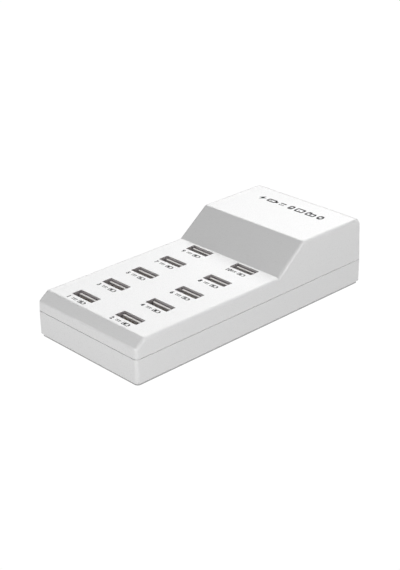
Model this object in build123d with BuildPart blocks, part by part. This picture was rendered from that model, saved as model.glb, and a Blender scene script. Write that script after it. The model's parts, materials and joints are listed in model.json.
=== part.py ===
from build123d import *
import os

# Multi port desktop charger: a stepped two-piece case, ten upright sockets and a mains inlet.
# Millimetres. X runs across, Y runs from the low front to the tall rear, Z is up from the desk.

# Socket grid, which sets the plan size of the case
port_rows = 5
port_row_pitch = 16.85
port_column_pitch = 28.5
first_row_inset = 12.8
last_row_inset = 3.75
port_side_inset = 18.0

# Case
slope_run = 16.35
roof_length = 40.1
block_rise = 12.6
base_height = 11.35
chamfer_run = 5.0
chamfer_drop = 3.75
cover_draft = 1.5
wall = 2.4
floor_thickness = 2.2
corner_radius = 1.8
smallest_radius = 0.5
crest_radius = 1.9
valley_radius = 0.7
underside_bevel = 0.5

# Seam between cover and base
seam_gap = 0.3
seam_depth = 0.7
lip_thickness = 0.9
lip_height = 1.6
lip_clearance = 0.1

# Sockets
port_opening_width = 12.7
port_opening_depth = 4.8
port_metal = 0.25
port_corner_bevel = 0.3
port_height = 13.9
port_rim_recess = 0.1
port_slot_clearance = 0.05
leg_width = 2.0
solder_tail = 1.2
spring_width = 1.6
spring_length = 4.6
spring_reach = 0.2
spring_slot = 0.4
spring_pitch = 5.2
spring_drop = 3.0
tongue_width = 11.1
tongue_thickness = 1.2
tongue_rear_gap = 0.6
tongue_recess = 0.75
tongue_bevel = 0.15
insulator_height = 3.8
insulator_clearance = 0.1
contact_width = 1.0
contact_thickness = 0.25
contact_recess = 1.1
contact_inner_pitch = 2.0
contact_outer_pitch = 7.0

# Circuit board
board_gap = 2.05
board_thickness = 1.6
board_edge_gap = 0.6
board_hole_clearance = 0.1

# Screws and feet
screw_diameter = 2.9
screw_head_diameter = 5.4
screw_head_height = 1.8
screw_drive_width = 0.8
screw_drive_length = 3.2
screw_drive_depth = 0.9
screw_grip = 7.5
screw_tip_gap = 0.8
screw_clearance = 0.2
thread_clearance = 0.03
boss_diameter = 6.4
boss_wall_gap = 0.6
boss_rear_gap = 2.4
boss_rib = 1.2
tower_wall = 1.4
tower_shelf = 1.7
prop_width = 4.0
hook_width = 8.0
hook_pitch = 30.0
hook_thickness = 1.3
hook_drop = 4.0
hook_rise = 3.0
hook_catch = 0.5
hook_catch_height = 1.2
hook_clearance = 0.15
foot_diameter = 9.0
foot_height = 0.8
foot_inset = 9.5
foot_gap = 1.5

# Mains inlet
inlet_width = 22.0
inlet_height = 12.4
inlet_corner_radius = 1.2
inlet_window_clearance = 0.15
inlet_flange = 1.6
inlet_flange_thickness = 2.0
inlet_flange_gap = 0.35
inlet_front_recess = 0.2
inlet_back_wall = 3.0
socket_depth = 11.0
lobe_radius = 4.0
lobe_pitch = 8.6
waist_height = 6.2
pin_diameter = 2.4
pin_recess = 2.0
pin_clearance = 0.02
pin_tail_width = 2.0
pin_tail_thickness = 0.8

# Power parts on the board
part_gap = 1.5
core_width = 25.0
core_depth = 7.0
core_height = 20.0
core_outer_limb = 3.2
core_centre_limb = 6.4
core_yoke = 3.3
bobbin_depth = 17.0
bobbin_wall = 0.9
bobbin_clearance = 0.15
winding_inset = 0.8
bulk_diameter = 10.0
bulk_height = 18.0
output_diameter = 8.0
output_height = 10.0
choke_width = 12.0
choke_depth = 5.0
choke_height = 14.0
choke_limb = 3.2
choke_wrap = 1.6
filter_length = 11.0
filter_thickness = 6.0
filter_height = 12.0
fuse_length = 11.0
fuse_width = 4.4
fuse_height = 7.5
bridge_length = 8.4
bridge_width = 6.4
bridge_height = 3.4
sink_length = 14.0
sink_thickness = 1.5
sink_height = 12.0
package_width = 10.0
package_height = 9.0
package_thickness = 4.5
chip_length = 5.0
chip_width = 4.0
chip_height = 1.6

# Plan sizes that follow from the grid
grid_length = port_row_pitch * (port_rows - 1)
length = first_row_inset + grid_length + last_row_inset + slope_run + roof_length
width = port_column_pitch + 2 * port_side_inset
front = -length / 2
rear = length / 2
first_row = front + first_row_inset
last_row = first_row + grid_length
slope_foot = last_row + last_row_inset
slope_top = slope_foot + slope_run

# Heights above the desk
base_bottom = foot_height
floor_top = base_bottom + floor_thickness
board_bottom = floor_top + board_gap
board_top = board_bottom + board_thickness
port_rim = board_top + port_height
deck = port_rim + port_rim_recess
roof = deck + block_rise
parting = base_bottom + base_height

# Places of the repeated pieces
port_width = port_opening_width + 2 * port_metal
port_depth = port_opening_depth + 2 * port_metal
port_spots = []
for row in range(port_rows):
    for side in (-1, 1):
        port_spots.append((side * port_column_pitch / 2, first_row + row * port_row_pitch))

boss_x = width / 2 - wall - boss_wall_gap - boss_diameter / 2
boss_y = rear - wall - boss_rear_gap - boss_diameter / 2
boss_spots = [(-boss_x, boss_y), (boss_x, boss_y)]
counterbore = screw_head_diameter + 2 * screw_clearance
tower_width = counterbore + 2 * tower_wall
shelf = board_bottom - tower_shelf
prop_y = first_row + port_row_pitch / 2
prop_spots = [(-boss_x, prop_y), (boss_x, prop_y)]

foot_x = width / 2 - foot_inset
foot_rear = boss_y - tower_width / 2 - foot_gap - foot_diameter / 2
foot_spots = [(-foot_x, front + foot_inset), (foot_x, front + foot_inset)]
foot_spots += [(-foot_x, foot_rear), (foot_x, foot_rear)]

# Side view of a hook, from its root on the cover's front wall down to its catch
hook_outer = front + wall + hook_clearance
hook_inner = hook_outer + hook_thickness
hook_root = parting + lip_height + lip_clearance
hook_tip = parting - hook_drop
hook_ledge = hook_tip + hook_catch_height
hook_profile = [(front + wall / 2, hook_root), (hook_outer, hook_root)]
hook_profile += [(hook_outer, hook_ledge), (hook_outer - hook_catch, hook_ledge)]
hook_profile += [(hook_outer, hook_tip), (hook_inner, hook_tip)]
hook_profile += [(hook_inner, hook_root + hook_rise), (front + wall / 2, hook_root + hook_rise)]

board_half = width / 2 - wall - board_edge_gap
board_rear = rear - wall - board_edge_gap

# The inlet is drawn on a plane that faces out of the rear wall
inlet_middle = board_top + inlet_flange + inlet_height / 2
inlet_front = rear - inlet_front_recess
inlet_back = inlet_front - socket_depth - inlet_back_wall
inlet_plane = Plane(origin=(0, inlet_front, inlet_middle), x_dir=(-1, 0, 0), z_dir=(0, 1, 0))

# Power parts are laid out from the rear wall forwards
side_line = rear - wall - part_gap
inlet_line = inlet_back - pin_tail_thickness
power_rear = min(inlet_line, side_line - fuse_length, side_line - filter_length) - part_gap
power_front = power_rear - bobbin_depth
bulk_x = part_gap + bulk_diameter / 2 - board_half
core_x = board_half - part_gap - core_width / 2
middle_x = (bulk_x + bulk_diameter / 2 + core_x - core_width / 2) / 2
side_x = (inlet_width / 2 + inlet_flange + boss_x - boss_diameter / 2) / 2
core_y = power_rear - bobbin_depth / 2
choke_y = power_rear - choke_depth / 2 - choke_wrap
bridge_y = choke_y - choke_depth / 2 - choke_wrap - part_gap - bridge_width / 2
sink_y = power_front - part_gap - sink_thickness / 2
package_y = sink_y - sink_thickness / 2 - package_thickness / 2
output_y = slope_foot + output_diameter
bulk_spots = [(bulk_x, power_rear - bulk_diameter / 2)]
bulk_spots.append((bulk_x, power_rear - 1.5 * bulk_diameter - part_gap))
output_spots = [(-output_diameter, output_y), (output_diameter, output_y)]
sink_spots = [(middle_x, sink_y), (core_x, sink_y)]


def save(part, name):
    """Write one finished piece under its own name."""
    part.label = name
    export_step(part, f"parts/{name}.step")


def case_outline(inset, mode=Mode.ADD):
    """Plan outline of the case, drawn in by inset, square once the corner radius is used up."""
    radius = corner_radius - inset
    if radius > smallest_radius:
        RectangleRounded(width - 2 * inset, length - 2 * inset, radius, mode=mode)
    else:
        Rectangle(width - 2 * inset, length - 2 * inset, mode=mode)


def port_outline(across, along, mode=Mode.ADD):
    """Plan outline of a socket, with its corners cut off."""
    with BuildSketch(mode=Mode.PRIVATE) as outline:
        Rectangle(across, along)
        chamfer(outline.vertices(), port_corner_bevel)
    add(outline.sketch, mode=mode)


def cover_block(inset):
    """Stepped block above the parting plane, with every outer face drawn in by inset."""
    low = parting - block_rise
    nose = (front + chamfer_run - (deck - low) * chamfer_run / chamfer_drop, low)
    brow = (front + chamfer_run, deck)
    foot = (slope_foot, deck)
    crest = (slope_top, roof)
    back = (rear + block_rise, roof)
    heel = (rear + block_rise, low)
    with BuildPart() as block:
        with BuildSketch(Plane.XY.offset(parting)):
            Rectangle(width - 2 * inset, length - 2 * inset)
        extrude(amount=roof - parting, taper=cover_draft)
        with BuildSketch(Plane.YZ):
            with BuildLine():
                if inset > 0:
                    Polyline(nose, brow, foot, crest, back, heel, close=True)
                else:
                    bends = [crest_radius, valley_radius, crest_radius, crest_radius]
                    FilletPolyline(nose, brow, foot, crest, back, heel, radius=bends)
                    Line(heel, nose)
            make_face()
            if inset > 0:
                offset(amount=-inset, kind=Kind.INTERSECTION)
        extrude(amount=width, both=True, mode=Mode.INTERSECT)
    return block.part


os.makedirs("parts", exist_ok=True)

# Space that the inlet's nose needs in the rear wall, taken out of both case pieces
with BuildPart() as inlet_window:
    with BuildSketch(inlet_plane.offset(2 * wall)):
        opening_width = inlet_width + 2 * inlet_window_clearance
        opening_height = inlet_height + 2 * inlet_window_clearance
        RectangleRounded(opening_width, opening_height, inlet_corner_radius + inlet_window_clearance)
    extrude(amount=-4 * wall)

# Upper cover: stepped outside, with its corners and rims rounded in one sweep, hollow inside
with BuildPart() as upper_cover:
    add(cover_block(0))
    walls = upper_cover.faces().filter_by(lambda face: abs(face.normal_at().Z) < 0.2)
    fillet(walls.edges().filter_by(lambda edge: edge.center().Z > parting + seam_gap), corner_radius)
    add(cover_block(wall), mode=Mode.SUBTRACT)
    # Groove of the seam outside, rebate for the base's lip inside
    with BuildSketch(Plane.XY.offset(parting)):
        case_outline(-wall)
        case_outline(seam_depth, Mode.SUBTRACT)
    extrude(amount=seam_gap, mode=Mode.SUBTRACT)
    with BuildSketch(Plane.XY.offset(parting)):
        case_outline(wall - lip_thickness - lip_clearance)
    extrude(amount=lip_height + lip_clearance, mode=Mode.SUBTRACT)
    # Two screw bosses hang from the roof down to the board, each tied to its side wall by a rib
    with BuildSketch(Plane.XY.offset(board_top)):
        with Locations(*boss_spots):
            Circle(boss_diameter / 2)
    extrude(amount=roof - wall / 2 - board_top)
    rib_bottom = parting + lip_height + seam_gap
    with BuildSketch(Plane.XY.offset(rib_bottom)):
        for side in (-1, 1):
            with Locations((side * (boss_x + (boss_diameter + wall) / 4), boss_y)):
                Rectangle((boss_diameter + wall) / 2, boss_rib)
    extrude(amount=roof - wall / 2 - rib_bottom)
    with BuildSketch(Plane.XY.offset(board_top)):
        with Locations(*boss_spots):
            Circle(screw_diameter / 2 + thread_clearance)
    extrude(amount=screw_grip + screw_tip_gap, mode=Mode.SUBTRACT)
    # Two square props press the board down at the front
    with BuildSketch(Plane.XY.offset(board_top)):
        with Locations(*prop_spots):
            Rectangle(prop_width, prop_width)
    extrude(amount=deck - wall / 2 - board_top)
    # Two hooks reach down behind the front wall of the base
    for x in (-hook_pitch / 2, hook_pitch / 2):
        with BuildSketch(Plane.YZ.offset(x)):
            with BuildLine():
                Polyline(*hook_profile, close=True)
            make_face()
        extrude(amount=hook_width / 2, both=True)
    # Slots for the sockets
    with BuildSketch(Plane.XY.offset(deck + wall)):
        with Locations(*port_spots):
            slot_width = port_width + 2 * port_slot_clearance
            slot_depth = port_depth + 2 * port_slot_clearance
            port_outline(slot_width, slot_depth)
    extrude(amount=-3 * wall, mode=Mode.SUBTRACT)
    add(inlet_window.part, mode=Mode.SUBTRACT)
save(upper_cover.part, "upper_cover")

# Lower base: tray with a locating lip, two screw towers, two props and pockets for the hooks
with BuildPart() as lower_base:
    with BuildSketch(Plane.XY.offset(base_bottom)):
        case_outline(0)
    extrude(amount=base_height)
    chamfer(lower_base.faces().sort_by(Axis.Z)[0].edges(), underside_bevel)
    with BuildSketch(Plane.XY.offset(floor_top)):
        case_outline(wall)
    extrude(amount=base_height, mode=Mode.SUBTRACT)
    with BuildSketch(Plane.XY.offset(parting)):
        case_outline(wall - lip_thickness)
        case_outline(wall, Mode.SUBTRACT)
    extrude(amount=lip_height)
    with BuildSketch(Plane.XY.offset(floor_top)):
        with Locations(*boss_spots):
            Rectangle(tower_width, tower_width)
        with Locations(*prop_spots):
            Rectangle(prop_width, prop_width)
    extrude(amount=board_gap)
    with BuildSketch(Plane.XY.offset(shelf)):
        with Locations(*boss_spots):
            Circle(counterbore / 2)
    extrude(amount=base_bottom - shelf, mode=Mode.SUBTRACT)
    with BuildSketch(Plane.XY.offset(board_bottom)):
        with Locations(*boss_spots):
            Circle(screw_diameter / 2 + screw_clearance)
    extrude(amount=base_bottom - board_bottom, mode=Mode.SUBTRACT)
    with BuildSketch(Plane.XY.offset(hook_tip - hook_clearance)):
        with Locations((0, front + wall)):
            with GridLocations(hook_pitch, 0, 2, 1):
                Rectangle(hook_width + 2 * hook_clearance, 2 * hook_catch)
    extrude(amount=hook_catch_height + 2 * hook_clearance, mode=Mode.SUBTRACT)
    add(inlet_window.part, mode=Mode.SUBTRACT)
save(lower_base.part, "lower_base")

# Rubber feet, stuck to the underside of the base
with BuildPart() as rubber_foot:
    with BuildSketch(Plane.XY):
        Circle(foot_diameter / 2)
    extrude(amount=foot_height)
for number, (x, y) in enumerate(foot_spots, 1):
    save(rubber_foot.part.moved(Location((x, y, 0))), f"rubber_foot_{number}")

# Case screws, one group: head under the tower's shelf, shank through the board into the boss
with BuildPart() as case_screw:
    with BuildSketch(Plane.XY.offset(shelf)):
        Circle(screw_head_diameter / 2)
    extrude(amount=-screw_head_height)
    with BuildSketch(Plane.XY.offset(shelf - screw_head_height)):
        Rectangle(screw_drive_length, screw_drive_width)
        Rectangle(screw_drive_width, screw_drive_length)
    extrude(amount=screw_drive_depth, mode=Mode.SUBTRACT)
    with BuildSketch(Plane.XY.offset(shelf)):
        Circle(screw_diameter / 2)
    extrude(amount=board_top + screw_grip - shelf)
with BuildPart() as case_screws:
    with Locations(*[(x, y, 0) for x, y in boss_spots]):
        add(case_screw.part)
save(case_screws.part, "case_screws")

# Socket shell: folded steel tube with two sprung fingers in each long wall and two solder legs
with BuildPart() as usb_shell:
    with BuildSketch(Plane.XY.offset(board_top)):
        port_outline(port_width, port_depth)
        Rectangle(port_opening_width, port_opening_depth, mode=Mode.SUBTRACT)
    extrude(amount=port_height)
    with BuildSketch(Plane.XY.offset(board_top)):
        with GridLocations(port_opening_width + port_metal, 0, 2, 1):
            Rectangle(port_metal, leg_width)
    extrude(amount=-board_thickness - solder_tail)
    spring_top = port_rim - spring_drop
    spring_root = spring_top - spring_length
    with BuildSketch(Plane.XZ.offset(-port_depth)):
        with GridLocations(spring_pitch, 0, 2, 1):
            with Locations((0, spring_top + spring_slot)):
                window_height = spring_length + spring_slot
                Rectangle(spring_width + 2 * spring_slot, window_height, align=(Align.CENTER, Align.MAX))
    extrude(amount=2 * port_depth, mode=Mode.SUBTRACT)
    inner_face = port_opening_depth / 2
    outer_face = inner_face + port_metal
    bend = spring_root + 0.7 * spring_length
    for x in (-spring_pitch / 2, spring_pitch / 2):
        for facing in (-1, 1):
            with BuildSketch(Plane.YZ.offset(x)):
                with BuildLine():
                    root_in = (facing * inner_face, spring_root)
                    bend_in = (facing * (inner_face - spring_reach), bend)
                    tip_in = (facing * (inner_face - spring_reach / 3), spring_top)
                    tip_out = (facing * (outer_face - spring_reach / 3), spring_top)
                    bend_out = (facing * (outer_face - spring_reach), bend)
                    root_out = (facing * outer_face, spring_root)
                    Polyline(root_in, bend_in, tip_in, tip_out, bend_out, root_out, close=True)
                make_face()
            extrude(amount=spring_width / 2, both=True)

# Socket insulator: block in the foot of the shell and a tongue set towards the rear wall
tongue_back = port_opening_depth / 2 - tongue_rear_gap
tongue_front = tongue_back - tongue_thickness
tongue_tip = port_rim - tongue_recess
contact_top = tongue_tip - contact_recess
contact_xs = []
for pitch in (contact_inner_pitch, contact_outer_pitch):
    contact_xs += [-pitch / 2, pitch / 2]
with BuildPart() as usb_insulator:
    with BuildSketch(Plane.XY.offset(board_top)):
        block_width = port_opening_width - 2 * insulator_clearance
        block_depth = port_opening_depth - 2 * insulator_clearance
        Rectangle(block_width, block_depth)
    extrude(amount=insulator_height)
    with BuildSketch(Plane.XY.offset(board_top)):
        with Locations((0, (tongue_front + tongue_back) / 2)):
            Rectangle(tongue_width, tongue_thickness)
    extrude(amount=tongue_tip - board_top)
    tip_edges = usb_insulator.faces().sort_by(Axis.Z)[-1].edges()
    chamfer(tip_edges.filter_by(Axis.X), tongue_bevel)

# Socket contacts, one group of four: strips on the tongue's front that stand on the block
with BuildPart() as usb_contacts:
    with BuildSketch(Plane.XY.offset(board_top + insulator_height)):
        for x in contact_xs:
            with Locations((x, tongue_front)):
                Rectangle(contact_width, contact_thickness, align=(Align.CENTER, Align.MAX))
    extrude(amount=contact_top - board_top - insulator_height)

for number, (x, y) in enumerate(port_spots, 1):
    spot = Location((x, y, 0))
    save(usb_shell.part.moved(spot), f"usb_shell_{number:02d}")
    save(usb_insulator.part.moved(spot), f"usb_insulator_{number:02d}")
    save(usb_contacts.part.moved(spot), f"usb_contacts_{number:02d}")

# Mains inlet housing: nose in the window, flange behind the wall, figure-eight socket
with BuildPart() as inlet_housing:
    with BuildSketch(inlet_plane):
        RectangleRounded(inlet_width, inlet_height, inlet_corner_radius)
    extrude(amount=inlet_back - inlet_front)
    flange_front = wall - inlet_front_recess + inlet_flange_gap
    with BuildSketch(inlet_plane.offset(-flange_front)):
        Rectangle(inlet_width + 2 * inlet_flange, inlet_height + 2 * inlet_flange)
    extrude(amount=-inlet_flange_thickness)
    with BuildSketch(inlet_plane.offset(-flange_front)):
        with Locations((0, -inlet_flange / 2)):
            Rectangle(inlet_width, inlet_height + inlet_flange)
    extrude(amount=inlet_back - inlet_front + flange_front)
    with BuildSketch(inlet_plane):
        with GridLocations(lobe_pitch, 0, 2, 1):
            Circle(lobe_radius)
        Rectangle(lobe_pitch, waist_height)
    extrude(amount=-socket_depth, mode=Mode.SUBTRACT)
    with BuildSketch(inlet_plane):
        with GridLocations(lobe_pitch, 0, 2, 1):
            Circle(pin_diameter / 2 + pin_clearance)
    extrude(amount=inlet_back - inlet_front, mode=Mode.SUBTRACT)
save(inlet_housing.part, "inlet_housing")

# Mains pins, one group of two: round pins with flat tails that turn down into the board
with BuildPart() as inlet_pins:
    with BuildSketch(inlet_plane.offset(-pin_recess)):
        with GridLocations(lobe_pitch, 0, 2, 1):
            Circle(pin_diameter / 2)
    extrude(amount=inlet_back - inlet_front + pin_recess - pin_tail_thickness)
    tips = inlet_pins.faces().sort_by(Axis.Y)[-2:].edges()
    chamfer(tips, pin_diameter / 4)
    with BuildSketch(inlet_plane.offset(inlet_back - inlet_front)):
        with GridLocations(lobe_pitch, 0, 2, 1):
            with Locations((0, pin_diameter / 2)):
                tail_length = inlet_middle + pin_diameter / 2 - board_bottom + solder_tail
                Rectangle(pin_tail_width, tail_length, align=(Align.CENTER, Align.MAX))
    extrude(amount=-pin_tail_thickness)
save(inlet_pins.part, "inlet_pins")

# Main board, with holes for the screws, the socket legs and the mains pins
with BuildPart() as main_board:
    with BuildSketch(Plane.XY.offset(board_bottom)):
        Rectangle(2 * board_half, 2 * board_rear)
        with Locations(*boss_spots):
            Circle(screw_diameter / 2 + screw_clearance, mode=Mode.SUBTRACT)
        with Locations(*port_spots):
            with GridLocations(port_opening_width + port_metal, 0, 2, 1):
                leg_hole = port_metal + 2 * board_hole_clearance
                Rectangle(leg_hole, leg_width + 2 * board_hole_clearance, mode=Mode.SUBTRACT)
        with Locations((0, inlet_back - pin_tail_thickness / 2)):
            with GridLocations(lobe_pitch, 0, 2, 1):
                pin_hole = pin_tail_thickness + 2 * board_hole_clearance
                Rectangle(pin_tail_width + 2 * board_hole_clearance, pin_hole, mode=Mode.SUBTRACT)
    extrude(amount=board_thickness)
save(main_board.part, "main_board")

# Transformer: closed ferrite core, bobbin round its centre limb, taped winding on the bobbin
core_centre = (core_x, core_y, board_top + core_height / 2)
core_plane = Plane(origin=core_centre, x_dir=(1, 0, 0), z_dir=(0, -1, 0))
core_window = (core_width - core_centre_limb) / 2 - core_outer_limb
with BuildPart() as transformer_core:
    with BuildSketch(core_plane):
        Rectangle(core_width, core_height)
        with GridLocations(core_centre_limb + core_window, 0, 2, 1):
            Rectangle(core_window, core_height - 2 * core_yoke, mode=Mode.SUBTRACT)
    extrude(amount=core_depth / 2, both=True)
save(transformer_core.part, "transformer_core")

tube_width = core_centre_limb + 2 * bobbin_clearance + 2 * bobbin_wall
tube_depth = core_depth + 2 * bobbin_clearance + 2 * bobbin_wall
flange_width = core_width - 2 * core_outer_limb - 2 * bobbin_clearance
flange_bottom = board_top + core_yoke + bobbin_clearance
flange_top = board_top + core_height - core_yoke - bobbin_clearance
rail_depth = (bobbin_depth - core_depth) / 2 - bobbin_clearance
with BuildPart() as transformer_bobbin:
    for height in (flange_bottom, flange_top - bobbin_wall):
        with BuildSketch(Plane.XY.offset(height)):
            with Locations((core_x, core_y)):
                Rectangle(flange_width, bobbin_depth)
        extrude(amount=bobbin_wall)
    with BuildSketch(Plane.XY.offset(flange_bottom)):
        with Locations((core_x, core_y)):
            Rectangle(tube_width, tube_depth)
    extrude(amount=flange_top - flange_bottom)
    with BuildSketch(Plane.XY.offset(board_top)):
        with Locations((core_x, core_y)):
            with GridLocations(0, bobbin_depth - rail_depth, 1, 2):
                Rectangle(flange_width, rail_depth)
    extrude(amount=flange_bottom - board_top)
    with BuildSketch(Plane.XY.offset(board_top)):
        with Locations((core_x, core_y)):
            Rectangle(core_centre_limb + 2 * bobbin_clearance, core_depth + 2 * bobbin_clearance)
    extrude(amount=core_height, mode=Mode.SUBTRACT)
save(transformer_bobbin.part, "transformer_bobbin")

with BuildPart() as transformer_winding:
    with BuildSketch(Plane.XY.offset(flange_bottom + bobbin_wall)):
        with Locations((core_x, core_y)):
            Rectangle(flange_width - winding_inset, bobbin_depth - 2 * winding_inset)
            Rectangle(tube_width, tube_depth, mode=Mode.SUBTRACT)
    extrude(amount=flange_top - flange_bottom - 2 * bobbin_wall)
save(transformer_winding.part, "transformer_winding")


def capacitor(diameter, height):
    """Upright can in its sleeve."""
    with BuildPart() as can:
        with BuildSketch(Plane.XY.offset(board_top)):
            Circle(diameter / 2)
        extrude(amount=height)
    return can.part


bulk_can = capacitor(bulk_diameter, bulk_height)
for number, (x, y) in enumerate(bulk_spots, 1):
    save(bulk_can.moved(Location((x, y, 0))), f"bulk_capacitor_{number}")
output_can = capacitor(output_diameter, output_height)
for number, (x, y) in enumerate(output_spots, 1):
    save(output_can.moved(Location((x, y, 0))), f"output_capacitor_{number}")

# Line choke: rectangular core on end, with a coil round each upright limb
choke_centre = (middle_x, choke_y, board_top + choke_height / 2)
choke_plane = Plane(origin=choke_centre, x_dir=(1, 0, 0), z_dir=(0, -1, 0))
with BuildPart() as choke_core:
    with BuildSketch(choke_plane):
        Rectangle(choke_width, choke_height)
        Rectangle(choke_width - 2 * choke_limb, choke_height - 2 * choke_limb, mode=Mode.SUBTRACT)
    extrude(amount=choke_depth / 2, both=True)
save(choke_core.part, "choke_core")

with BuildPart() as choke_winding:
    with BuildSketch(Plane.XY.offset(board_top + choke_limb)):
        with Locations((middle_x, choke_y)):
            with GridLocations(choke_width - choke_limb, 0, 2, 1):
                Rectangle(choke_limb + 2 * choke_wrap, choke_depth + 2 * choke_wrap)
                Rectangle(choke_limb, choke_depth, mode=Mode.SUBTRACT)
    extrude(amount=choke_height - 2 * choke_limb)
save(choke_winding.part, "choke_winding")


def upright_box(name, x, y, across, along, height, lift=0.0):
    """Plain moulded body on the board."""
    with BuildPart() as body:
        with BuildSketch(Plane.XY.offset(board_top + lift)):
            with Locations((x, y)):
                Rectangle(across, along)
        extrude(amount=height)
    save(body.part, name)


filter_y = side_line - filter_length / 2
fuse_y = side_line - fuse_length / 2
upright_box("filter_capacitor", side_x, filter_y, filter_thickness, filter_length, filter_height)
upright_box("fuse", -side_x, fuse_y, fuse_width, fuse_length, fuse_height)
upright_box("bridge_rectifier", middle_x, bridge_y, bridge_length, bridge_width, bridge_height)
for name, (x, y) in zip(("switch_heat_sink", "output_heat_sink"), sink_spots):
    upright_box(name, x, y, sink_length, sink_thickness, sink_height)
for name, (x, y) in zip(("switching_transistor", "output_rectifier"), sink_spots):
    upright_box(name, x, package_y, package_width, package_thickness, package_height, sink_thickness)

# Charge controllers, one chip between each pair of sockets
with BuildPart() as charge_controllers:
    with BuildSketch(Plane.XY.offset(board_top)):
        for row in range(port_rows):
            with Locations((0, first_row + row * port_row_pitch)):
                Rectangle(chip_length, chip_width)
    extrude(amount=chip_height)
save(charge_controllers.part, "charge_controllers")
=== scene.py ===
import json
import math

import bmesh
import bpy
from mathutils import Matrix, Vector

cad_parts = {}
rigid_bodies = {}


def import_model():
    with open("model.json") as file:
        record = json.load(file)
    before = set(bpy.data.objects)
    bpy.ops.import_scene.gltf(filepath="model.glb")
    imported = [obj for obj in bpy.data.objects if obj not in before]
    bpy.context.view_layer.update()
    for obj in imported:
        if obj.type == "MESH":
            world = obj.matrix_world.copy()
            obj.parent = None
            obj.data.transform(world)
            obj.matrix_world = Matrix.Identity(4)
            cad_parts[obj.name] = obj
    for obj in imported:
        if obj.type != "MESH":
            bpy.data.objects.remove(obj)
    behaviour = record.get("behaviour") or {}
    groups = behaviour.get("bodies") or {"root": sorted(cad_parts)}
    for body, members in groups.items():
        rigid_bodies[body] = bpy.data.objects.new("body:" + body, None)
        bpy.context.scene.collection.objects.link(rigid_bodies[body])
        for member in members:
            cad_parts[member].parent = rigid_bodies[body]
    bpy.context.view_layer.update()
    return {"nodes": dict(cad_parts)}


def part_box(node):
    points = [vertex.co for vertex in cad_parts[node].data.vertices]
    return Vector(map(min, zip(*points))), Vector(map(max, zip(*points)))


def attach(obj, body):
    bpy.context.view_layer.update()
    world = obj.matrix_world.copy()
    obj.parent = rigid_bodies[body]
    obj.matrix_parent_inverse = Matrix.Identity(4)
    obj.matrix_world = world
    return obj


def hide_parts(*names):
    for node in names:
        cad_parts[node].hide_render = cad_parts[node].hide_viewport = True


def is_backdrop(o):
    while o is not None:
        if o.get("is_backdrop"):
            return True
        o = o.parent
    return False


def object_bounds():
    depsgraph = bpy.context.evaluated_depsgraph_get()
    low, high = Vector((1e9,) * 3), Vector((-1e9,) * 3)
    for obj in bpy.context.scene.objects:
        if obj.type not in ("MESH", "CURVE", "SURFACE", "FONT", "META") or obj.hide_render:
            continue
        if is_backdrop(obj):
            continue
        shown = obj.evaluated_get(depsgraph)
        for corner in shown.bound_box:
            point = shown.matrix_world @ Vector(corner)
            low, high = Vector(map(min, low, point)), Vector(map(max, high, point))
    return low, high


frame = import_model()
nodes = frame["nodes"]
MM = 0.001

# Faces that carry print: the deck lies a hair above the socket rims, the roof is the top of the cover
rim_recess = 0.1
deck_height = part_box("usb_shell_01")[1].z / MM + rim_recess
roof_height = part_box("upper_cover")[1].z / MM

# Printed marks, in millimetres: a number, a direct-current sign and a battery in front of each socket
socket_count = 10
ink_thickness = 0.03
fine_stroke = 0.3
sign_stroke = 0.4
digit_share = 0.7
digit_swell = 0.1
mark_height = 2.1
mark_start = 0.5
mark_gap = 1.5
sign_start = 3.0
sign_length = 3.0
battery_start = 7.2
battery_length = 4.2

# Row of pictograms on the roof, in millimetres: its strokes, start, middle line, height, gaps and widths
bold_stroke = 0.85
row_start = -19.5
row_middle = 55.7
row_height = 4.0
row_gap = 1.4
group_gap = 2.6
bolt_width = 3.8
bolt_height = 4.4
battery_width = 6.4
battery_height = 3.2
sign_width = 3.4
phone_width = 2.8
tablet_width = 5.2
camera_width = 5.6
watch_width = 3.2


def linear(colour):
    """An sRGB hex colour as linear red, green, blue and alpha."""
    parts = [int(colour[i:i + 2], 16) / 255 for i in (1, 3, 5)]
    parts = [c / 12.92 if c <= 0.04045 else ((c + 0.055) / 1.055) ** 2.4 for c in parts]
    return (*parts, 1.0)


def add_node(tree, kind, inputs=None, **settings):
    """Adds a node, sets its settings, and fills or links its inputs."""
    node = tree.nodes.new(kind)
    for name, value in settings.items():
        setattr(node, name, value)
    for name, value in (inputs or {}).items():
        if isinstance(value, bpy.types.NodeSocket):
            tree.links.new(value, node.inputs[name])
        else:
            node.inputs[name].default_value = value
    return node


def surface(name, **constants):
    """A new material with one shader, whose constant values are set on its own sockets."""
    material = bpy.data.materials.new(name)
    material.use_nodes = True
    tree = material.node_tree
    tree.nodes.clear()
    shader = add_node(tree, "ShaderNodeBsdfPrincipled", constants)
    add_node(tree, "ShaderNodeOutputMaterial", {"Surface": shader.outputs["BSDF"]})
    return material, tree, shader


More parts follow.
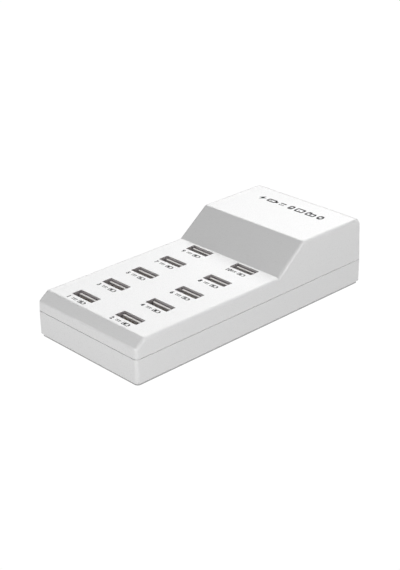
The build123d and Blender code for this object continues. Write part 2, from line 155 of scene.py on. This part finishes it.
def moulded(name, dark, light, gloss, grain, relief, **constants):
    """A moulded or cast finish: a mottled colour, uneven gloss and a fine grain, its size in millimetres."""
    material, tree, shader = surface(name, **constants)
    place = add_node(tree, "ShaderNodeTexCoord").outputs["Object"]
    mottle = add_node(tree, "ShaderNodeTexNoise",
                      {"Vector": place, "Scale": 1 / (6 * grain * MM), "Detail": 3.0})
    colour = add_node(tree, "ShaderNodeMix", {"Factor": mottle.outputs["Fac"]}, data_type="RGBA")
    colour.inputs["A"].default_value = linear(dark)
    colour.inputs["B"].default_value = linear(light)
    tree.links.new(colour.outputs["Result"], shader.inputs["Base Color"])
    speckle = add_node(tree, "ShaderNodeTexNoise",
                       {"Vector": place, "Scale": 1 / (grain * MM), "Detail": 2.0})
    rough = add_node(tree, "ShaderNodeMapRange",
                     {"Value": speckle.outputs["Fac"], "From Min": 0.3, "From Max": 0.7,
                      "To Min": gloss[0], "To Max": gloss[1]})
    tree.links.new(rough.outputs["Result"], shader.inputs["Roughness"])
    bump = add_node(tree, "ShaderNodeBump",
                    {"Height": speckle.outputs["Fac"], "Strength": 1.0, "Distance": relief * MM})
    tree.links.new(bump.outputs["Normal"], shader.inputs["Normal"])
    return material


def drawn(name, dark, light, gloss, line, stretch, relief, painted_rim_shade=None, **constants):
    """A drawn, stamped or plated metal: fine lines along one way, their width in millimetres.

    Faces that face up, the cut rims of a shell, can be given a darker colour: painted shade, which keeps them
    as dark as the shaded wall inside a socket.
    """
    material, tree, shader = surface(name, Metallic=1.0, **constants)
    place = add_node(tree, "ShaderNodeTexCoord").outputs["Object"]
    lie = add_node(tree, "ShaderNodeMapping", {"Vector": place, "Scale": stretch})
    lines = add_node(tree, "ShaderNodeTexNoise",
                     {"Vector": lie.outputs["Vector"], "Scale": 1 / (line * MM), "Detail": 3.0})
    colour = add_node(tree, "ShaderNodeMix", {"Factor": lines.outputs["Fac"]}, data_type="RGBA")
    colour.inputs["A"].default_value = linear(dark)
    colour.inputs["B"].default_value = linear(light)
    # Painted shade: faces whose normal points up get the darker colour
    if painted_rim_shade:
        facing = add_node(tree, "ShaderNodeNewGeometry").outputs["True Normal"]
        upward = add_node(tree, "ShaderNodeSeparateXYZ", {"Vector": facing}).outputs["Z"]
        edge = add_node(tree, "ShaderNodeMapRange", {"Value": upward, "From Min": 0.8, "From Max": 0.9})
        plated = colour.outputs["Result"]
        colour = add_node(tree, "ShaderNodeMix", {"Factor": edge.outputs["Result"]}, data_type="RGBA")
        tree.links.new(plated, colour.inputs["A"])
        colour.inputs["B"].default_value = linear(painted_rim_shade)
    tree.links.new(colour.outputs["Result"], shader.inputs["Base Color"])
    rough = add_node(tree, "ShaderNodeMapRange",
                     {"Value": lines.outputs["Fac"], "From Min": 0.3, "From Max": 0.7,
                      "To Min": gloss[0], "To Max": gloss[1]})
    tree.links.new(rough.outputs["Result"], shader.inputs["Roughness"])
    bump = add_node(tree, "ShaderNodeBump",
                    {"Height": lines.outputs["Fac"], "Strength": 1.0, "Distance": relief * MM})
    tree.links.new(bump.outputs["Normal"], shader.inputs["Normal"])
    return material


# White ABS from a spark-eroded mould: satin, with a grain that is drawn a little coarse so that it shows
case_abs = moulded("white_abs_satin", "#E3E3E3", "#E6E6E6", (0.26, 0.33), 0.35, 0.004, IOR=1.53)
# Nickel-plated folded steel: bright, with drawing lines along the way the plug goes, and painted shade on its
# rims, which face up
shell_steel = drawn("nickel_plated_steel", "#CFCBCC", "#E2DFE0", (0.42, 0.55), 0.12, (1.0, 1.0, 0.08), 0.002,
                    painted_rim_shade="#4E4C4D")
# Natural PBT: ivory, half matt
insulator_pbt = moulded("natural_pbt", "#CFCCCA", "#D8D5D3", (0.4, 0.55), 0.3, 0.002, IOR=1.57)
# Gold flash over nickel: smooth and warm
contact_gold = drawn("gold_flash", "#9C8552", "#B39B68", (0.3, 0.42), 0.1, (1.0, 1.0, 0.1), 0.001)
# Black glass-filled nylon: dull, with a faint grain
inlet_nylon = moulded("black_glass_nylon", "#121213", "#1C1C1D", (0.35, 0.5), 0.4, 0.004, IOR=1.53)
# Nickel-plated brass pin, turned, so the lines run round it
pin_nickel = drawn("nickel_plated_brass", "#B9B4A8", "#D6D1C4", (0.14, 0.26), 0.15, (0.1, 1.0, 0.1), 0.001)
# Epoxy-glass laminate under green solder mask
board_laminate = moulded("green_solder_mask", "#155A33", "#1E7142", (0.25, 0.4), 0.8, 0.003, IOR=1.55)
# Sintered manganese-zinc ferrite: dark grey and matt
ferrite = moulded("sintered_ferrite", "#2F3033", "#434448", (0.55, 0.75), 0.3, 0.006)
# Black phenolic bobbin: half gloss
phenolic = moulded("black_phenolic", "#17130F", "#231D18", (0.3, 0.45), 0.5, 0.003, IOR=1.6)
# Yellow polyester tape wound over the turns
polyester_tape = moulded("yellow_polyester_tape", "#D9A91A", "#EBC034", (0.22, 0.34), 1.2, 0.01)
# Enamelled copper wire, wound close
copper_wire = drawn("enamelled_copper", "#9A4E22", "#C87A45", (0.2, 0.34), 0.6, (1.0, 1.0, 0.15), 0.03)
# Shrunk PET sleeve on an aluminium can
sleeve_pet = moulded("blue_pet_sleeve", "#173463", "#21457F", (0.2, 0.3), 1.0, 0.004)
# Flame-retardant PBT box of a film capacitor
film_box = moulded("yellow_pbt_box", "#D2AE2A", "#E0BF3F", (0.4, 0.5), 0.5, 0.004)
# Epoxy-dipped fuse body
fuse_epoxy = moulded("brown_epoxy", "#4A2A18", "#633A22", (0.25, 0.4), 0.6, 0.006)
# Moulded epoxy of a chip: charcoal and matt
chip_epoxy = moulded("black_mould_compound", "#1A1A1B", "#262627", (0.5, 0.65), 0.2, 0.003)
# Extruded aluminium, left plain
sink_aluminium = drawn("extruded_aluminium", "#B4B6B8", "#D0D2D4", (0.3, 0.45), 0.25, (1.0, 0.05, 1.0), 0.003)
# Zinc-plated steel screw, bright and slightly blue
screw_zinc = drawn("zinc_plated_steel", "#A5A9AD", "#C3C7CB", (0.2, 0.35), 0.2, (1.0, 1.0, 0.2), 0.002)
# Grey silicone rubber, soft and matt
foot_rubber = moulded("grey_silicone_rubber", "#5E6062", "#6B6D6F", (0.7, 0.85), 0.25, 0.006, IOR=1.43)
# Pad-printed ink: a thin dull film
print_ink = moulded("black_pad_print_ink", "#1A1A1C", "#222224", (0.6, 0.75), 0.25, 0.001,
                    **{"Specular IOR Level": 0.25})

finishes = {
    "upper_cover": case_abs, "lower_base": case_abs, "usb_shell": shell_steel,
    "usb_insulator": insulator_pbt, "usb_contacts": contact_gold, "inlet_housing": inlet_nylon,
    "inlet_pins": pin_nickel, "main_board": board_laminate, "transformer_core": ferrite,
    "transformer_bobbin": phenolic, "transformer_winding": polyester_tape, "choke_core": ferrite,
    "choke_winding": copper_wire, "bulk_capacitor": sleeve_pet, "output_capacitor": sleeve_pet,
    "filter_capacitor": film_box, "fuse": fuse_epoxy, "bridge_rectifier": chip_epoxy,
    "switch_heat_sink": sink_aluminium, "output_heat_sink": sink_aluminium,
    "switching_transistor": chip_epoxy, "output_rectifier": chip_epoxy,
    "charge_controllers": chip_epoxy, "case_screws": screw_zinc, "rubber_foot": foot_rubber,
}
for name, piece in nodes.items():
    finish = finishes[name.rstrip("0123456789").rstrip("_")]
    piece.data.materials.clear()
    piece.data.materials.append(finish)


def handed_over(name, shape, material):
    """An object at the origin, with the shape as its mesh."""
    mesh = bpy.data.meshes.new(name)
    shape.to_mesh(mesh)
    shape.free()
    mesh.materials.clear()
    mesh.materials.append(material)
    thing = bpy.data.objects.new(name, mesh)
    bpy.context.scene.collection.objects.link(thing)
    return thing


# The cover is shown by a copy of its solid, with a rounder edge along the top of its back, in millimetres
mould_radius = 1.8
back_radius = 3.8
round_steps = 8
weld_distance = 0.001 * MM
cut_tolerance = 0.0001 * MM
crease_angle = math.radians(30)


def cut_faces(shell, faces, middle, angle):
    """Cuts faces along a plane that holds the line through the middle and rises at the angle to the back."""
    edges = {edge for face in faces for edge in face.edges}
    corners = {corner for face in faces for corner in face.verts}
    bmesh.ops.bisect_plane(shell, geom=[*corners, *edges, *faces], dist=cut_tolerance, plane_co=middle,
                           plane_no=(0, -math.sin(angle), math.cos(angle)))


def roll_back_edge(shell):
    """Rolls the edge along the top of the back to the larger radius; what lies under it moves in with it."""
    top = max(corner.co.z for corner in shell.verts)
    back = max(corner.co.y for corner in shell.verts if corner.co.z > top - mould_radius * MM)
    middle = Vector((0, back, top)) - Vector((0, 1, 1)) * back_radius * MM
    slack = (back_radius - mould_radius) * MM
    for angle in (0, math.pi / 2):
        cut_faces(shell, [face for face in shell.faces if max(v.co.y for v in face.verts) > middle.y],
                  middle, angle)
    for step in range(1, round_steps):
        inside = [face for face in shell.faces
                  if face.calc_center_median().y > middle.y and face.calc_center_median().z > middle.z]
        cut_faces(shell, inside, middle, math.pi / 2 * step / round_steps)
    for corner in shell.verts:
        away = Vector((0, corner.co.y - middle.y, corner.co.z - middle.z))
        if away.y > 0 and away.z > 0:
            depth = back_radius * MM - max(away.y, away.z)
            if min(away.y, away.z) > slack:
                depth = mould_radius * MM - math.hypot(away.y - slack, away.z - slack)
            corner.co += away.normalized() * (back_radius * MM - depth) - away


cover = bmesh.new()
cover.from_mesh(nodes["upper_cover"].data)
bmesh.ops.remove_doubles(cover, verts=cover.verts[:], dist=weld_distance)
roll_back_edge(cover)
for face in cover.faces:
    face.smooth = True
for edge in cover.edges:
    edge.smooth = edge.calc_face_angle(0) < crease_angle
rounded_cover = handed_over("rounded_cover", cover, case_abs)
# Each flat face keeps its own shading up to the rounding
even = rounded_cover.modifiers.new("even_faces", "WEIGHTED_NORMAL")
even.keep_sharp = True
even.weight = 100
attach(rounded_cover, "root")
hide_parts("upper_cover")


def bar(ink, x, y, across, along):
    """A filled oblong with its middle at x, y."""
    oblong = Matrix.Translation((x, y, 0)) @ Matrix.Diagonal((across, along, 1, 1))
    return bmesh.ops.create_grid(ink, x_segments=1, y_segments=1, size=0.5, matrix=oblong)["verts"]


def ring(ink, x, y, across, along, corner, stroke):
    """An outlined oblong with round corners."""
    corners = bar(ink, x, y, across, along)
    rounded = bmesh.ops.bevel(ink, geom=corners, offset=corner, offset_type="OFFSET", segments=4,
                              profile=0.5, affect="VERTICES", material=-1)["verts"]
    middle = rounded[0].link_faces[0]
    bmesh.ops.inset_individual(ink, faces=[middle], thickness=stroke, use_even_offset=True)
    bmesh.ops.delete(ink, geom=[middle], context="FACES_ONLY")


def number(ink, digits, x, y, height):
    """A plain number, its lower left corner at x, y."""
    writing = bpy.data.curves.new("number", "FONT")
    writing.body = digits
    writing.size = height / digit_share
    writing.offset = digit_swell
    writing.resolution_u = 3
    carrier = bpy.data.objects.new("number", writing)
    flat = bpy.data.meshes.new_from_object(carrier)
    flat.transform(Matrix.Translation((x, y, 0)))
    ink.from_mesh(flat)
    for made, store in ((carrier, bpy.data.objects), (writing, bpy.data.curves), (flat, bpy.data.meshes)):
        store.remove(made)


def current_sign(ink, x, y, across, stroke):
    """The direct-current sign: a long bar over three short ones, starting at x."""
    bar(ink, x + across / 2, y + 1.1 * stroke, across, stroke)
    for step in (1, 3, 5):
        bar(ink, x + step * across / 6, y - 1.1 * stroke, across / 5, stroke)


def battery(ink, x, y, across, along, stroke):
    """A lying battery, half full, starting at x."""
    case = across - 1.2 * stroke
    ring(ink, x + case / 2, y, case, along, stroke, stroke)
    bar(ink, x + case + 0.6 * stroke, y, 1.2 * stroke, along / 2)
    bar(ink, x + 0.4 * case, y, 0.35 * case, along - 3.4 * stroke)


def bolt(ink, x, y, across, along):
    """A lightning bolt, starting at x."""
    outline = [(0.62, 0.5), (0.0, -0.08), (0.42, -0.08), (0.3, -0.5), (1.0, 0.12), (0.55, 0.12)]
    ink.faces.new([ink.verts.new((x + across * u, y + along * v, 0)) for u, v in outline])


def screen(ink, x, y, across, along, stroke):
    """A phone or tablet with its button, starting at x."""
    ring(ink, x + across / 2, y, across, along, stroke, stroke)
    bar(ink, x + across / 2, y - along / 2 + 1.7 * stroke, stroke, 0.7 * stroke)


def camera_sign(ink, x, y, across, along, stroke):
    """A camera with its lens, starting at x."""
    ring(ink, x + across / 2, y - 0.4 * stroke, across, along - 0.8 * stroke, stroke, stroke)
    lens_size = along - 3.4 * stroke
    ring(ink, x + across / 2, y - 0.4 * stroke, lens_size, lens_size, 0.45 * lens_size, 0.8 * stroke)
    bar(ink, x + 0.25 * across, y + along / 2 - 0.4 * stroke, 0.3 * across, 0.8 * stroke)


def watch(ink, x, y, across, along, stroke):
    """A watch with the ends of its strap, starting at x."""
    ring(ink, x + across / 2, y, across, across, 0.3 * across, stroke)
    for side in (-1, 1):
        strap = (along - across) / 2
        bar(ink, x + across / 2, y + side * (across + strap) / 2, 0.6 * across, strap)


def printed(name, ink, height):
    """Gives flat marks the thickness of ink, lays them on the face at that height and hands them over."""
    bmesh.ops.solidify(ink, geom=ink.faces[:], thickness=ink_thickness)
    lowest = min(vertex.co.z for vertex in ink.verts)
    bmesh.ops.translate(ink, verts=ink.verts[:], vec=(0, 0, height - lowest))
    bmesh.ops.scale(ink, verts=ink.verts[:], vec=(MM, MM, MM))
    bmesh.ops.recalc_face_normals(ink, faces=ink.faces[:])
    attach(handed_over(name, ink, print_ink), "root")


# Marks in front of the sockets
socket_ink = bmesh.new()
for count in range(1, socket_count + 1):
    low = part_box(f"usb_shell_{count:02d}")[0]
    start = low.x / MM + mark_start
    line = low.y / MM - mark_gap - mark_height / 2
    number(socket_ink, str(count), start, line - mark_height / 2, mark_height)
    current_sign(socket_ink, start + sign_start, line, sign_length, sign_stroke)
    battery(socket_ink, start + battery_start, line, battery_length, mark_height, fine_stroke)
printed("socket_marks", socket_ink, deck_height)

# Row of pictograms on the roof, in two groups: power, then what it charges
roof_ink = bmesh.new()
cursor = row_start
bolt(roof_ink, cursor, row_middle, bolt_width, bolt_height)
cursor += bolt_width + row_gap
battery(roof_ink, cursor, row_middle, battery_width, battery_height, bold_stroke)
cursor += battery_width + row_gap
current_sign(roof_ink, cursor, row_middle, sign_width, bold_stroke)
cursor += sign_width + group_gap
screen(roof_ink, cursor, row_middle, phone_width, row_height, bold_stroke)
cursor += phone_width + row_gap
screen(roof_ink, cursor, row_middle, tablet_width, row_height, bold_stroke)
cursor += tablet_width + row_gap
camera_sign(roof_ink, cursor, row_middle, camera_width, row_height, bold_stroke)
cursor += camera_width + row_gap
watch(roof_ink, cursor, row_middle, watch_width, row_height, bold_stroke)
printed("roof_pictograms", roof_ink, roof_height)

# The studio: a white table with a shaded patch under the part, a white backdrop and soft panels
paper_glow = 1.02
table_glow = 0.63
shade_glow = 0.35
shade_inset = 0.7 * MM
shade_corner = 1.7 * MM
shade_lift = 0.02 * MM
sheet_depth = 1.0 * MM
half_table = 4.0


def glowing(name, strength):
    """A plain white light of even strength."""
    material = bpy.data.materials.new(name)
    material.use_nodes = True
    material.node_tree.nodes.clear()
    glow = add_node(material.node_tree, "ShaderNodeEmission", {"Strength": strength})
    add_node(material.node_tree, "ShaderNodeOutputMaterial", {"Surface": glow.outputs["Emission"]})
    return material


def staged(name, shape, material):
    """A piece of the studio, which isn't part of the object."""
    thing = handed_over(name, shape, material)
    thing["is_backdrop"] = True
    return thing


def camera_only(thing):
    """Keeps a bright thing in the picture, but lets it light nothing."""
    thing.visible_diffuse = False
    thing.visible_glossy = False
    thing.visible_shadow = False


white_paper = glowing("white_paper", paper_glow)
table = bmesh.new()
bmesh.ops.create_grid(table, x_segments=1, y_segments=1, size=half_table)
camera_only(staged("white_table", table, white_paper))

# The shade lies a hair above the table, within the outline of the case, so that a thin line of it shows
low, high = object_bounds()
reach = high - low - Vector((2, 2, 0)) * shade_inset
shade = bmesh.new()
shade_corners = bmesh.ops.create_grid(shade, x_segments=1, y_segments=1, size=0.5,
                                      matrix=Matrix.Diagonal((reach.x, reach.y, 1, 1)))["verts"]
bmesh.ops.bevel(shade, geom=shade_corners, offset=shade_corner, offset_type="OFFSET", segments=4,
                profile=0.5, affect="VERTICES", material=-1)
bmesh.ops.translate(shade, verts=shade.verts[:], vec=(0, 0, shade_lift))
camera_only(staged("contact_shade", shade, glowing("shaded_paper", shade_glow)))

dome = bmesh.new()
bmesh.ops.create_uvsphere(dome, u_segments=48, v_segments=24, radius=half_table)
camera_only(staged("white_backdrop", dome, white_paper))

# What the table gives back to the part is dimmer than the table looks, so it comes from a sheet below it
sheet = bmesh.new()
bmesh.ops.create_grid(sheet, x_segments=1, y_segments=1, size=half_table,
                      matrix=Matrix.Translation((0, 0, -sheet_depth)))
staged("table_light", sheet, glowing("lit_paper", table_glow)).visible_camera = False


def soft_panel(name, place, aim, across, along, power):
    """A soft oblong light at a place in metres, turned to its aim."""
    lamp = bpy.data.lights.new(name, "AREA")
    lamp.shape = "RECTANGLE"
    lamp.size = across
    lamp.size_y = along
    lamp.energy = power
    panel = bpy.data.objects.new(name, lamp)
    bpy.context.scene.collection.objects.link(panel)
    panel.location = place
    panel.rotation_euler = (Vector(aim) - Vector(place)).to_track_quat("-Z", "Y").to_euler()
    panel.visible_camera = False


# Big panels behind, behind on the left and on the right, a low fill at the corner and a strip in front
heart = (0.0, 0.0, 0.02)
soft_panel("rear_panel", (0.0, 0.34, 0.4), heart, 0.38, 0.38, 1.37)
soft_panel("rear_left_panel", (-0.36, 0.36, 0.405), heart, 0.45, 0.45, 2.17)
soft_panel("right_panel", (0.509, 0.0, 0.318), heart, 0.45, 0.12, 1.55)
soft_panel("corner_fill", (0.431, -0.416, 0.042), heart, 0.45, 0.12, 0.4)
soft_panel("front_strip", (0.0, -0.24, 0.07), heart, 0.35, 0.04, 0.235)

# No light but that of the panels and the table
world = bpy.data.worlds.new("dark_studio")
world.use_nodes = True
world.node_tree.nodes["Background"].inputs["Strength"].default_value = 0.0
bpy.context.scene.world = world
bpy.context.scene.view_settings.view_transform = "Standard"

# The camera, fitted to the photograph's edges and socket corners, in degrees and millimetres
azimuth = math.radians(46.2583)
elevation = math.radians(25.4999)
roll = math.radians(-0.6063)
camera_distance = 564.498
camera_right = -2.8205
camera_up = 10.2370
back = Vector((math.sin(azimuth) * math.cos(elevation), -math.cos(azimuth) * math.cos(elevation),
               math.sin(elevation)))
right = Vector((math.cos(azimuth), math.sin(azimuth), 0.0))
up = back.cross(right)
turn = Matrix.Rotation(roll, 3, back)
right = turn @ right
up = turn @ up
lens = bpy.data.cameras.new("photo_camera")
lens.sensor_width = 36.0
lens.lens = 78.1823
lens.clip_start = 0.01
lens.clip_end = 20.0
camera = bpy.data.objects.new("photo_camera", lens)
bpy.context.scene.collection.objects.link(camera)
camera.matrix_world = Matrix((right, up, back)).transposed().to_4x4()
camera.location = (back * camera_distance + right * camera_right + up * camera_up) * MM
bpy.context.scene.camera = camera
